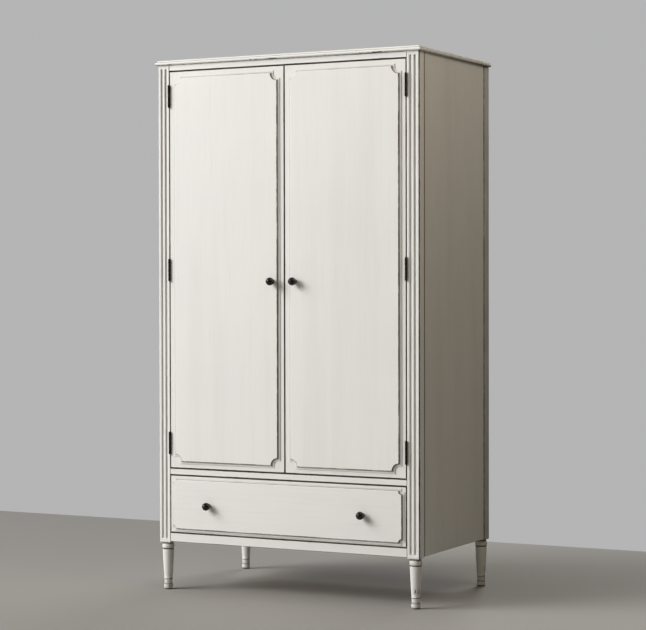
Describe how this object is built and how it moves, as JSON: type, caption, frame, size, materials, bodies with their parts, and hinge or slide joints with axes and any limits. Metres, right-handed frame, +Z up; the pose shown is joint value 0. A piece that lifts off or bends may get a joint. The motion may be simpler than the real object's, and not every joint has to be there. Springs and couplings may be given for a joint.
{
  "type": "armoire",
  "caption": "Free-standing armoire on turned legs: paired hinged doors with raised, scoop-cornered panels over a full-width drawer, with a hanging rod and hat shelf inside.",
  "frame": {"origin": "on the floor, under the centre of the whole armoire's bounding box, door and drawer knobs included", "axes": "+Z up; the doors and the drawer face -Y; +X is to the right of a person facing the doors"},
  "size_m": [1.021, 0.6366, 1.855],
  "materials": {
    "painted_wood": "antique white brushed paint, satin, rubbed to brown wood along the edges",
    "inside_wood": "clear-sealed wood, matt",
    "blackened_metal": "blackened, low sheen",
    "rod_metal": "brushed"
  },
  "bodies": {
    "carcass": {"top_board": "painted_wood", "front_left_post": "painted_wood", "front_right_post": "painted_wood", "rear_left_post": "painted_wood", "rear_right_post": "painted_wood", "top_front_rail": "painted_wood", "middle_front_rail": "painted_wood", "bottom_front_rail": "painted_wood", "back_top_rail": "inside_wood", "back_bottom_rail": "inside_wood", "left_side_panel": "painted_wood", "right_side_panel": "painted_wood", "back_panel": "painted_wood", "cabinet_floor": "inside_wood", "hat_shelf": "inside_wood", "hanging_rod": "rod_metal", "left_rod_socket": "rod_metal", "right_rod_socket": "rod_metal", "left_drawer_runner": "inside_wood", "right_drawer_runner": "inside_wood", "front_left_leg": "painted_wood", "front_right_leg": "painted_wood", "rear_left_leg": "painted_wood", "rear_right_leg": "painted_wood", "left_door_catch": "blackened_metal", "right_door_catch": "blackened_metal", "left_lower_hinge_frame_leaf": "blackened_metal", "left_lower_hinge_pin": "blackened_metal", "left_middle_hinge_frame_leaf": "blackened_metal", "left_middle_hinge_pin": "blackened_metal", "left_upper_hinge_frame_leaf": "blackened_metal", "left_upper_hinge_pin": "blackened_metal", "right_lower_hinge_frame_leaf": "blackened_metal", "right_lower_hinge_pin": "blackened_metal", "right_middle_hinge_frame_leaf": "blackened_metal", "right_middle_hinge_pin": "blackened_metal", "right_upper_hinge_frame_leaf": "blackened_metal", "right_upper_hinge_pin": "blackened_metal"},
    "left_door": {"left_door": "painted_wood", "left_door_raised_panel": "painted_wood", "left_door_knob": "blackened_metal", "left_door_strike": "rod_metal", "left_lower_hinge_door_leaf": "blackened_metal", "left_middle_hinge_door_leaf": "blackened_metal", "left_upper_hinge_door_leaf": "blackened_metal"},
    "right_door": {"right_door": "painted_wood", "right_door_raised_panel": "painted_wood", "right_door_knob": "blackened_metal", "right_door_strike": "rod_metal", "right_lower_hinge_door_leaf": "blackened_metal", "right_middle_hinge_door_leaf": "blackened_metal", "right_upper_hinge_door_leaf": "blackened_metal"},
    "drawer": {"drawer_front": "painted_wood", "drawer_raised_panel": "painted_wood", "drawer_left_side": "inside_wood", "drawer_right_side": "inside_wood", "drawer_back": "inside_wood", "drawer_bottom": "inside_wood", "drawer_left_knob": "blackened_metal", "drawer_right_knob": "blackened_metal"}
  },
  "joints": [
    {"name": "left_door_hinge", "type": "hinge", "parent": "carcass", "child": "left_door", "pos_m": [-0.4565, -0.28195, 1.1225], "axis": [0, 0, -1], "range_deg": [0, 170]},
    {"name": "right_door_hinge", "type": "hinge", "parent": "carcass", "child": "right_door", "pos_m": [0.4565, -0.28195, 1.1225], "axis": [0, 0, 1], "range_deg": [0, 170]},
    {"name": "drawer_slide", "type": "slide", "parent": "carcass", "child": "drawer", "axis": [0, -1, 0], "range_m": [0, 0.4]}
  ]
}
